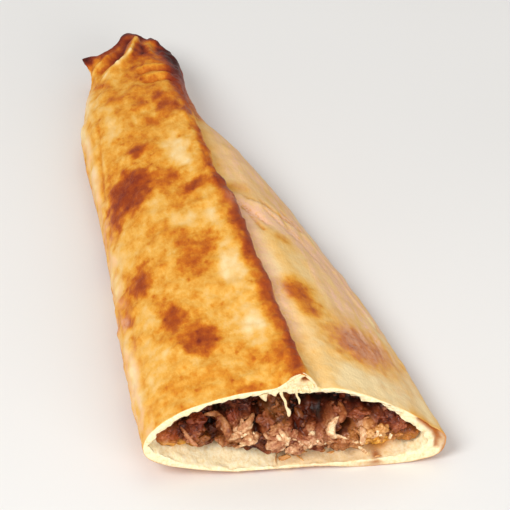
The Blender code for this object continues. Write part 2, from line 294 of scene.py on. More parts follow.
crust = {
    "seam": ((0, 3.4), (.1, 5), (.2, 6), (.4, 6.5), (.6, 7), (.8, 9), (.9, 10.5), (1, 10.5)),
    "lipHeight": ((0, 5.6), (.05, 4.2), (.12, 3.2), (.4, 3.4), (.47, 4.2), (.6, 3.4), (.75, 2.6), (.9, 1.5),
                  (1, 0)),
    "lipStart": ((0, -11), (.1, -18), (1, -18)),
    "lipCrest": -.8,
    "lipFoot": ((0, 6.4), (.1, 3), (1, 2.6)),
    # how far the lip hangs over its foot
    "tuck": ((0, .3), (.1, .9), (.35, 1.2), (.42, 2.2), (.5, 2), (.6, 1.2), (.9, .6), (1, 0)),
    # how far the finished lip wanders from the seam's line
    "sway": ((0, 0), (.12, 0), (.2, -.7), (.28, -.9), (.44, -.2), (.49, -1.8), (.53, -2.4), (.6, -1.8),
             (.77, -1.4), (.82, -.8), (.86, .6), (.9, 1.4), (1, 1.4)),
    "trough": 1.2,
    "troughEnd": (5, 11),
    # x, y from and to, width, height; a groove is lower than zero
    "folds": (
        (-.5, 240, -17, 220, 2.2, .8), (-6, 242, -21, 226, 2.6, -.5), (6, 238, -6, 222, 3, -1),
        (-4, 212.5, 6, 210, 1.8, -.8), (-3, 204, 6, 201.5, 1.8, -.7), (10, 226, 8, 207, 2.2, -.7),
        (-24, 232, -22, 214, 2, -.8), (9.5, 119, 30, 104, 2.6, .7), (10.5, 111, 17, 100, 2.2, -.5),
        (22, 115, 29, 107, 2, -.7), (48, 0, 45.5, 34, 1.5, -1.1),
    ),
    # narrow creases: x, y from and to, width, height, and how much browner: painted shade in the grooves,
    # paler as painted highlight on the ridges
    "creases": (
        (-.5, 241, -5, 231, .9, 1.2, -.42), (-5, 231, -11, 225, .9, 1.1, -.3),
        (-11, 225, -18, 221, 1, .8, -.16), (-3.6, 243, -9, 233, 1.5, -1.1, .34),
        (-9, 233, -17, 228, 1.6, -.9, .28), (-13, 236, -21, 230, .9, .7, -.14),
        (2.4, 244, 0, 229, 1, -.9, .2), (4.4, 240, 2, 227, .8, .8, -.12), (7, 238, 5, 226, .8, -.6, .14),
        (-5, 216.4, 6, 213.8, .8, .9, -.16), (-5, 213, 6, 210.6, .8, -1, .22),
        (-6, 208.8, 5, 206, .8, .8, -.14), (-5, 204.4, 5, 202, .9, -1, .2), (-2, 222, -4, 216, .8, -.5, .1),
        (-20, 238, -22, 222, .9, -.6, .1), (-24, 232, -26, 208, 1, .5, -.1),
        (8.4, 121, 19, 112, .9, .5, -.04), (19, 112, 31, 103, .8, .4, -.04), (9, 116, 17, 101, .8, -.9, .34),
        (19, 118, 29, 108, .8, -.8, .3), (13, 118, 24, 112, .8, -.8, .3), (11, 112, 14, 96, .7, -.6, .3),
        (18, 112, 27, 96, .7, -.6, .24), (31, 103, 38, 84, 1, .6, -.04), (38, 84, 44, 52, 1, .6, -.04),
        (27, 118, 36, 96, .8, -.5, .24), (36, 96, 42, 66, .8, -.5, .24), (24, 108, 33, 80, .7, -.4, .16),
        (40, 84, 45, 50, .7, -.4, .18), (-34, 168, -38, 130, .9, .5, -.18), (-38, 130, -44, 72, .9, .5, -.14),
        (-36, 150, -41, 100, .8, -.4, .18), (-46, 60, -49, 20, .9, .4, -.1), (-43, 70, -46, 30, .9, -.4, .12),
        (-30, 228, -33, 176, .9, .5, -.16), (-27, 214, -31, 160, .9, .4, -.14),
        (-28, 186, -35, 146, .8, -.5, .16),
    ),
    # the floury fold on the right face
    "fold": ((11, 111), (18.5, 104.5), (27.5, 95), (35.5, 80), (42, 60)),
    "foldWidth": 4.4,
    "wave": .8,
    "waveLength": 26,
    # how many millimetres of the underside's curl stay flat
    "flatMargin": 1,
    "columns": 288, "outerRows": 256, "cutRows": 16, "hollowRows": 36, "capRows": 5,
    # how far the underside's front edge turns up, and over what depth
    "frontLift": ((-52, 0), (-44, 1), (-34, 1.7), (8, 1.6), (25, 0), (34, .3), (44, .9), (53, 0)),
    "liftDepth": 6,
    # how brown the lapped edge is, against the share of the length
    "seamBand": ((0, .36), (.06, .4), (.11, .36), (.2, .38), (.27, .5), (.4, .5), (.47, .52), (.52, .34),
                 (.64, .3), (.72, .38), (.8, .48), (.86, .62), (.96, .75), (1, .8)),
    # x, y, half width, half length, strength and, if turned, the degrees
    "toasted": (
        (-26.5, 138, 7.6, 11, .74, -16), (-36, 124, 3, 8, .34, -10), (-19, 159, 2.9, 3.8, .5),
        (-12.5, 134.5, 5.5, 4.4, .32, 25), (-3, 125, 5, 3.4, .36), (-8, 124, 4, 3, .16),
        (-35, 84, 4.4, 7.5, .4, -12), (-43, 76, 2.6, 9, .34), (-29.5, 56, 3.8, 8.6, .3, 6),
        (-33, 49, 4, 5, .14), (-25, 38, 7, 8, .42, -10), (-12.5, 87, 7, 9, .2, -25), (-18, 98, 4.4, 6, .15),
        (-24, 107, 5, 5, .12), (-17, 76, 6, 6, .14), (-23, 17, 4.5, 3.4, .13), (-14, 4, 5, 2.6, .17, 8),
        (-3.5, 15, 3, 6, .12), (-2, 181, 4.8, 9, .27), (-9, 173, 4, 4.5, .13), (-3.5, 192, 2.2, 3.4, .2),
        (-12, 186, 3, 3, .12), (-20, 213, 2.6, 12, .14), (-4, 214, 7, 19, .13), (-10, 236, 5.5, 5, .2, 40),
        (0, 231, 3.4, 7, .38), (-20.5, 239, 2.4, 3, .3), (8, 208, 4.6, 15, .34), (9.6, 229, 4, 10, .3),
        (15.6, 58, 6, 7, .4), (18.4, 47, 4.4, 7, .34), (20, 91, 3, 3.4, .2), (13, 126, 3, 4, .16),
        (31, 29, 16, 13, .4, 12), (25, 112, 5, 2, .12, -30),
    ),
    "pale": (
        (-5, 148, 4.4, 12, .3), (-4, 66, 4.4, 16, .24), (-6, 38, 4.4, 7, .22), (-5, 27, 4, 5, .16),
        (-8, 105, 8, 8, .12), (-41, 35, 5, 9, .12), (-34, 104, 6, 9, .1), (-24, 196, 4, 26, .12),
        (-34, 26, 6, 8, .06), (13, 30, 4, 12, .1), (11, 76, 3, 20, .1), (30, 3, 18, 9, .14),
        (-36, 8, 12, 8, .06), (-3, 86, 3, 14, .1), (18, 25, 5, 13, .11), (25, 12, 6, 7, .09),
    ),
    # how brown the faces, edges and marks are: .35 is gold, .8 red-brown and over 1 scorched; the gap under
    # the lifted lip and the line along the seam's foot are painted shade
    "browns": {
        "leftFace": .35, "farLeft": .02, "rightFace": .15, "underside": .42, "inside": .05, "cutSkin": .22,
        "leftFringe": -.14, "leftRim": -.12, "gap": .7, "seamFootShadow": .4, "nearTip": .16, "tipEdge": .34,
        "tipTop": .3, "shoulder": .42, "cutEdge": .2, "floorBurn": .6, "most": .64, "mostAtTip": .38,
    },
    "flour": {
        "rightEdge": .7, "rightStreaks": 1.8, "foot": .8, "upper": .5, "mark": .3, "foldStart": .4,
        "fold": .95, "foldStreaks": .7, "leftEdge": .3,
    },
    # lumps of noise: size, or sizes along x, y and z, then seed and strength
    "grain": {
        "blister": ((9, 5, 1),), "wrinkle": (((3.2, 5, 4), 2, .35), (1.9, 8, .2)),
        "crumbly": (((2.2, 3.4, 2.2), 12, .6),), "drapes": (((3.5, 34, 5), 7, .35),),
        "pits": (((4, 5, 4), 23, .4),), "wander": ((17, 21, .6), (5, 22, .2)),
        "wall": ((3.2, 31, .7), (1.4, 32, .5)),
        "cloud": (((14, 20, 14), 3, .1), ((5, 8.5, 5), 4, .15), ((2.3, 3.6, 2.3), 19, .1)),
        "ragged": ((2.4, 9, .25), (5, 10, .25)), "stirX": ((3, 25, 1),), "stirY": ((3, 26, 1),),
        "lip": (((3, 6, 3), 6, .7),), "underside": (((9, 12, 9), 11, .3),),
        "streaks": (((1.8, 26, 3), 14, 1), ((3.4, 9, 3), 15, .6)), "leftFlour": (((3, 7, 3), 16, 1.4),),
        "underFlour": (((6, 10, 6), 17, 1.5),), "tears": ((2.2, 33, .9), (1.1, 34, .6)),
    },
}

hollow = {
    "roof": 3,
    "floor": 5,
    "leftWall": 6.5,
    "rightWall": 7.5,
    "rimShare": .45,
    "rounding": 2.2,
    "taper": .66,
    "end": .85,
    "blunt": .03,
    # how much thinner the dough is at the cut, and how far in that reaches
    "thinning": {"roof": 1.5, "floor": 2, "leftWall": 5.2, "rightWall": .8},
    "thinDepth": 16,
}

cut = {
    # the brown groove in the right corner: its line, width and depth
    "groove": ((43.6, 20.4), (46.4, 17.6), (48.6, 14.4), (49.8, 11), (49.6, 7.4)),
    "grooveWidth": 1.2,
    "grooveDepth": 1.3,
    # the small hole in the lap, a pit browned dark inside as painted shade
    "shadedHole": (3.9, 42),
    "holeDepth": 3.4,
    "lap": (2, 40),
    # the right corner outside the groove: its inner limit as x against z
    "outerSkin": ((6, 10, 14, 20), (48.6, 48.8, 47, 42)),
    "stain": (28.6, 3.2),
    # how brown each mark makes the cut; the hole's brown is painted shade
    "browns": {"groove": .62, "shadedHole": 1.2, "outerSkin": .4, "stain": .3, "lowEdge": .36, "corner": .14},
}


def weighted(weights, marks):
    # sum of the marks, each as strong as its weight
    return sum(weights[key] * mark for key, mark in marks.items())


def lipHeight(distance, share):
    drop = ease(crust["lipCrest"], curve(crust["lipFoot"], share), distance)
    lip = ease(curve(crust["lipStart"], share), crust["lipCrest"], distance) * (1 - drop)
    trough = drop * (1 - ease(*crust["troughEnd"], distance)) * (1 - ease(.8, .95, share))
    return curve(crust["lipHeight"], share) * lip - crust["trough"] * trough


def foldHeight(x, y):
    return sum(height * bell(awayFrom(x, y, *ends) / width) for *ends, width, height in crust["folds"])


def bySide(x, share, right, left):
    return np.where(x >= 0, curve(outline[right], share), curve(outline[left], share))


def archAt(x, share):
    # height of a round arch over the width, and of the edge that it stands on
    reach = bySide(x, share, "right", "left")
    return np.sqrt(np.maximum(0, 1 - (x / reach) ** 2)), bySide(x, share, "rightEdge", "leftEdge")


def alongCut(x, share=0.0):
    # y of a place on a section slanted like the cut, and less so towards the tip
    return outline["length"] * share - x * outline["cutSlant"] * (1 - share) ** 2


def grain(name, at):
    # one of the crust's noises
    return sum(noiseAt(*at, size, seed) * strength for size, seed, strength in crust["grain"][name])


def topHeight(x, share, plain=False):
    arch, edge = archAt(x, share)
    slope, drop = .8 * arch ** 2.3 + .2 * arch ** .8, arch ** .8
    bow = np.where(x >= 0, slope + (drop - slope) * curve(outline["rightDrop"], share), arch ** 1.05)
    height = edge + (curve(outline["crown"], share) - edge) * bow
    if not plain:
        y = outline["length"] * share
        length = crust["waveLength"]
        height = height + lipHeight(x - curve(crust["seam"], share), share)
        waves = crust["wave"] * noiseAt(x, y, 3, (length, length * 1.4, 1))
        height = height + arch * (foldHeight(x, y) + waves)
    return height


def baseHeight(x, share):
    arch, edge = archAt(x, share)
    lift = curve(outline["lift"], share)
    curl = (1 - arch) ** np.where(x >= 0, outline["rightCurl"], outline["leftCurl"])
    margin = crust["flatMargin"] * (1 - ease(.8, .95, share))
    return lift + np.maximum(0, (edge - lift) * curl - margin)


def crustPlace(angle, share):
    left, right = curve(outline["left"], share), curve(outline["right"], share)
    seam = curve(crust["seam"], share)
    across = np.sin(angle)
    x = seam + across * np.where(across >= 0, right - seam, left + seam)
    y = alongCut(x, share) + curve(outline["end"], x / bySide(x, share, "right", "left")) * share ** 8
    z = np.where(np.cos(angle) >= 0, topHeight(x, share), baseHeight(x, share))
    return np.stack((x, y, z), axis=-1)


def hollowPlace(angle, share, inset=0.0):
    thin = 1 - ease(0, hollow["thinDepth"], outline["length"] * share)
    thinning = hollow["thinning"]
    left = curve(outline["left"], share) - hollow["leftWall"] + thinning["leftWall"] * thin - inset
    right = curve(outline["right"], share) - hollow["rightWall"] + thinning["rightWall"] * thin - inset
    middle, half = (right - left) / 2, (right + left) / 2
    across, up = np.sin(angle), np.cos(angle)
    x = middle + across * half
    roof = topHeight(x, share, plain=True) - hollow["roof"] - inset
    roof = roof + thinning["roof"] * thin * (1 - bell((x - 2) / 9))
    floor = baseHeight(x, share) + hollow["floor"] - thinning["floor"] * thin + inset
    rim = floor + (roof - floor) * hollow["rimShare"]
    z = rim + (np.where(up >= 0, roof, floor) - rim) * (1 - (1 - np.abs(up)) ** hollow["rounding"])
    past = np.maximum(0, (share - hollow["taper"]) / (hollow["end"] - hollow["taper"]))
    closing = np.sqrt(np.maximum(hollow["blunt"], 1 - past * past))
    x = middle + (x - middle) * closing
    centre = (curve(outline["crown"], share) + hollow["floor"]) / 2
    z = centre + (z - centre) * closing
    return np.stack((x, alongCut(x, share), z), axis=-1)


def spreadAngles(columns):
    # angles round the section, closer at the seam and under it, where the ends meet
    even = np.linspace(-math.pi, math.pi, 2001)
    nearSeam = np.abs(np.sin(even))
    density = 1 + 1.3 * bell(nearSeam / .14)
    total = np.concatenate(([0], np.cumsum((density[1:] + density[:-1]) / 2)))
    return np.interp(np.linspace(0, total[-1], columns + 1), total, even)


def normalsOf(places):
    along = np.gradient(places, axis=0)
    around = np.gradient(places, axis=1)
    around[:, 0] = around[:, -1] = (places[:, 1] - places[:, -2]) / 2
    normals = np.cross(around, along)
    return normals / np.maximum(np.linalg.norm(normals, axis=-1, keepdims=True), 1e-9)


def creaseSum(x, y, kind):
    # height, or painted shade and highlight as added brown, of the narrow creases together
    total = np.zeros_like(x)
    for *ends, width, height, brown in crust["creases"]:
        total += (brown if kind == "brown" else height) * bell(awayFrom(x, y, *ends) / width)
    return total


def crustRelief(at, distance, top, browning):
    # blisters, wrinkles and the lip's crumbly edge, in millimetres outwards
    x, y, _ = at
    rough = 1 - .6 * ease(0, 6, distance)
    blister = np.maximum(0, grain("blister", at)) ** 1.5 * 1.6 * (.4 + browning)
    wrinkle = grain("wrinkle", at) * rough
    crumbly = grain("crumbly", at) * bell((distance + 1.5) / 3)
    drapes = grain("drapes", at) * ease(14, 28, x)
    pits = grain("pits", at) * rough
    return blister + wrinkle + (crumbly + drapes + pits + creaseSum(x, y, "height")) * top


def browningOf(at, side, share, distance, top):
    x, y, _ = at
    browns = crust["browns"]
    left = 1 - ease(-1, 4, distance)
    leftBase = browns["leftFace"] + browns["farLeft"] * ease(.55, .75, share)
    base = leftBase * left + browns["rightFace"] * (1 - left)
    cloud = grain("cloud", at) * (.4 + .6 * left)
    ragged = 1.05 + grain("ragged", at)
    stir = [grain(name, at) * (.25 + .25 * left) for name in ("stirX", "stirY")]
    spots = patchSum(crust["toasted"], x, y, *stir) * ragged - patchSum(crust["pale"], x, y, *stir)
    band = bell((distance + 1) / np.where(distance < -1, 3.6, 1.3))
    lip = band * curve(crust["seamBand"], share) * (.9 + grain("lip", at))
    marks = {
        "leftFringe": ease(-.84, -.98, side) * (1 - ease(.9, 1, share)),
        "leftRim": bell((side - .93) / .035) * (1 - ease(.45, .6, share)),
        # painted shade in the gap under the lifted lip, and a painted shadow line along the seam's foot
        "gap": blot(distance, y, (1.2, 110), 1.2, 15),
        "seamFootShadow": bell((distance + .3) / 1.1) * ease(6, 20, y) * (1 - ease(116, 132, y)),
        "nearTip": ease(.92, 1, share),
        "tipEdge": ease(.98, 1, share),
        "tipTop": blot(x, y, (-1, outline["length"]), 9, 7),
        "shoulder": ease(.7, .78, share) * ease(-3.5, 0, distance),
        "cutEdge": bell(share * outline["length"] / 2.4) * ease(38, 44, x),
    }
    # the creases add painted shade in their grooves and painted highlight on their ridges
    onTop = base + cloud + spots + lip + creaseSum(x, y, "brown")
    onTop = onTop + weighted(browns, marks)
    # only the pinched end is scorched
    most = browns["most"] + browns["mostAtTip"] * ease(.8, .9, share)
    onTop = np.where(onTop > most, most + .2 * np.tanh((onTop - most) * 4), onTop)
    under = browns["underside"] + cloud * 2 + grain("underside", at)
    return np.where(top > .5, onTop, under)


def flourOf(at, side, share, distance, top):
    x, y, _ = at
    flour = crust["flour"]
    streaks = grain("streaks", at)
    rightEdge = ease(.45, .75, side) * bell((y - 88) / 55)
    rightEdge = rightEdge * (flour["rightEdge"] + flour["rightStreaks"] * streaks)
    leftEdge = ease(.9, .99, -side) * (flour["leftEdge"] + grain("leftFlour", at))
    leftEdge = np.clip(leftEdge, 0, .5) * (1 - ease(.85, .95, share))
    alongFold = nearLine(crust["fold"], x, y, crust["foldWidth"])
    marks = {
        "mark": blot(x, y, (32, 29), 15, 13),
        "foldStart": blot(x, y, (16, 108), 7, 9),
        "fold": alongFold * (1 + flour["foldStreaks"] * streaks),
        "foot": bell((distance - 3.4) / 2.4) * ease(16, 40, y) * (1 - ease(110, 125, y)),
        "upper": ease(2, 6, distance) * ease(112, 140, y) * (1 - ease(205, 222, y)) * (1 + streaks),
    }
    shown = np.clip(rightEdge, 0, 1) + leftEdge + weighted(flour, marks)
    return np.where(top > .5, np.clip(shown, 0, 1), np.clip(grain("underFlour", at), 0, .6))


def cutMarks(x, z):
    # how deep the cut's tears, groove and hole are, and how brown they make it; the hole's dark brown is
    # painted shade
    marks = {
        "groove": nearLine(cut["groove"], x, z, cut["grooveWidth"]),
        "shadedHole": bell(np.hypot((x - cut["shadedHole"][0]) / 1.3, (z - cut["shadedHole"][1]) / 1.2) ** 2),
        "outerSkin": ease(1.2, 3.2, x - np.interp(z, *cut["outerSkin"])) * (1 - ease(15, 19, z)),
        "stain": blot(x, z, cut["stain"], 2.2, 2.2),
        # darker along the cut's bottom edge
        "lowEdge": (bell((x - 3) / 13) + bell((x - 27) / 9)) * (1 - ease(2.2, 3.4, z)),
        "corner": ease(39, 44, x) * (1 - ease(45.5, 48, x)),
    }
    torn = grain("tears", (x, 0, z)) * (.25 + .75 * blot(x, z, cut["lap"], 7, 5))
    deep = torn + marks["groove"] * cut["grooveDepth"] + marks["shadedHole"] * cut["holeDepth"]
    return deep, weighted(cut["browns"], marks)


crustLayers = ("browning", "flour", "crumb", "soak")


def crustPaint():
    paint = Paint("bakedCrust", **{"Specular IOR Level": .18})
    paint.stretch(1.5)
    browning, flour, crumb, soak = [paint.layer(key) for key in crustLayers]
    speckle = paint.noise(1.3, 5, .65)
    mottle = paint.noise(3.6, 4, .6)
    cells = paint.make("ShaderNodeTexVoronoi", {}, {"Vector": paint.grainPlace, "Scale": 1 / (3.8 * mm)})
    dots = (1 - paint.between(.08, .34, cells)) * paint.between(.42, .6, mottle)
    lively = .35 + .65 * paint.between(.1, .36, browning)
    level = browning + ((speckle - .5) * .34 + (mottle - .5) * .38 + dots * .12) * lively
    baked = paint.ramp(level * .8, (
        (0, 250, 222, 166), (.12, 244, 198, 122), (.22, 239, 179, 80), (.32, 226, 150, 44),
        (.43, 204, 112, 22), (.55, 174, 78, 16), (.7, 138, 50, 18), (.85, 104, 31, 15),
        (1, 62, 19, 12),
    ))
    dusted = paint.mix((flour * paint.between(.25, .6, speckle)).clamped(), baked, colour(246, 198, 164))
    pores = paint.noise(1.1, 3, .6)
    bread = paint.ramp(pores, (
        (.3, 240, 216, 162), (.48, 251, 235, 192), (.7, 254, 245, 214),
    ))
    # the soaked colour, which also paints the shade in the lap's middle
    soakedAndShaded = paint.mix(soak, bread, colour(214, 156, 76))
    marked = paint.mix(paint.between(.1, .75, browning), soakedAndShaded, colour(166, 92, 32))
    paint.feed("Base Color", paint.mix(crumb, dusted, marked))
    shine = .56 - .14 * paint.between(.3, .7, browning) + .2 * flour + .12 * speckle
    paint.feed("Roughness", shine)
    paint.bump(speckle * .5 + pores * .3 + mottle * .4, .5)
    return paint


crustMaterial = crustPaint()


def crustOutside(angle, share):
    # the outer surface with its relief, and its layers
    outer = crustPlace(angle, share)
    x, y, z = at = tuple(np.moveaxis(outer, -1, 0))
    distance = x - curve(crust["seam"], share)
    top = (np.cos(angle) >= 0).astype(float)
    side = x / bySide(x, share, "right", "left")
    browning = browningOf(at, side, share, distance, top)
    flour = flourOf(at, side, share, distance, top)

    relief = crustRelief(at, distance, top, np.clip(browning, 0, 1))
    relief = relief * (.35 + .65 * ease(0, .012, share))
    relief = np.where(top > .5, relief, np.where(z < .6, 0, relief * .5))
    outer = outer + normalsOf(outer) * relief[..., None]
    # the lapped edge hangs a little over its foot, and wanders
    tuck = curve(crust["tuck"], share)
    pushed = bell((distance + .6) / 1.3) * tuck * .2 - bell((distance - 2.2) / 1.1) * tuck
    pushed = pushed + bell((distance + .4) / 4) * curve(crust["sway"], share)
    wander = grain("wander", (0, y, 0)) * bell(distance / 5)
    outer[..., 0] += (pushed + wander * ease(0, .05, share)) * top
    turnedUp = curve(crust["frontLift"], x) * (1 - ease(0, crust["liftDepth"], outline["length"] * share))
    outer[..., 2] = np.maximum(outer[..., 2], 0) + turnedUp * (1 - top)
    return outer, {"browning": browning, "flour": flour, "crumb": 0, "soak": 0}


def crustInside(angles):
    # the hollow's wall from its far end to the cut, and its layers
    shares = hollow["end"] * np.linspace(1, 0, crust["hollowRows"] + 1) ** 2.4
    angle, share = np.meshgrid(angles, shares)
    depth = share * outline["length"]
    wall = hollowPlace(angle, share)
    ragged = grain("wall", np.moveaxis(wall, -1, 0))
    torn = 1 + (1 - ease(0, 10, depth)) * (np.cos(angle) > .2)
    wall = wall - normalsOf(wall) * (ragged * torn)[..., None]
    x, _, z = np.moveaxis(wall, -1, 0)
    oily = 1.3 * blot(x, depth, (31, 8.5), 4.5, 5) + .4 * bell(((x - 10) / 17) ** 3) * bell(depth / 9)
    wet = np.clip(ease(12, 34, depth) * .9 + oily * (z < 16), 0, 1)
    burn = crust["browns"]["floorBurn"] * blot(x, depth, (29.2, 2), 2, 3.4) * (z < 12)
    return wall, {"browning": crust["browns"]["inside"] + burn, "flour": 0, "crumb": 1, "soak": wet}


def cutFace(rim, edge):
    # the cut dough between the hollow's rim and the outside's edge, and its layers
    share = (np.arange(1, crust["cutRows"]) / crust["cutRows"])[:, None]
    face = rim + (edge - rim) * share[..., None]
    x, z = face[..., 0], face[..., 2]
    deep, marks = cutMarks(x, z)
    within = np.sin(share * math.pi)
    face[..., 1] += deep * np.minimum(1, within * 1.6) - within * .4
    skin = crust["browns"]["cutSkin"] * ease(.8, 1.02, share)
    crumb = 1 - ease(.88, 1, share) * .5
    # a little soak over the whole cut, and painted shade in the lap's middle
    lapShade = .1 + .34 * blot(x, z, (2.2, 40.6), 4, 2.6)
    return face, {"browning": skin + marks, "flour": 0, "crumb": crumb, "soak": lapShade}


def hollowCap(ring):
    # closes the hollow's far end
    centre = ring.mean(axis=0)
    inward = np.linspace(0, 1, crust["capRows"] + 1)[:-1, None, None]
    layers = {"browning": crust["browns"]["inside"], "flour": 0, "crumb": 1, "soak": 1}
    return centre + (ring - centre) * inward, layers


def tipCap(ring, layers):
    # closes the pinched end between its upper and lower edge
    columns = len(ring) - 1
    half = columns // 2
    facing = np.concatenate((np.arange(half, -1, -1), np.arange(columns - 1, half - 1, -1)))
    share = (np.arange(1, crust["capRows"] + 1) / crust["capRows"])[:, None, None]
    cap = ring + ((ring + ring[facing]) / 2 - ring) * share
    cap[..., 1] += 1.2 * np.sin(share[..., 0] * math.pi / 2)
    return cap, {**layers, "browning": layers["browning"][-1], "flour": layers["flour"][-1]}


def makeCrust():
    angles = spreadAngles(crust["columns"])
    even = np.linspace(0, 1, crust["outerRows"] + 1)
    # rows lie closer near the cut and the tip
    shares = even - .48 * np.sin(2 * math.pi * even) / (2 * math.pi)
    outer, outerLayers = crustOutside(*np.meshgrid(angles, shares))
    wall, wallLayers = crustInside(angles)
    parts = (
        hollowCap(wall[0]),
        (wall, wallLayers),
        cutFace(wall[-1], outer[0]),
        (outer, outerLayers),
        tipCap(outer[-1], outerLayers),
    )
    places = np.concatenate([grid for grid, _ in parts])
    layers = {
        key: np.concatenate([np.broadcast_to(values[key], grid.shape[:2]) for grid, values in parts])
        for key in outerLayers
    }
    piece = finishPiece("crustSheet", rolledSheet(places, layers), crustMaterial)
    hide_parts("dough")


makeCrust()


# The filling: a lumpy core, crumbs of mince in two sizes, shreds of onion and strands of dough.

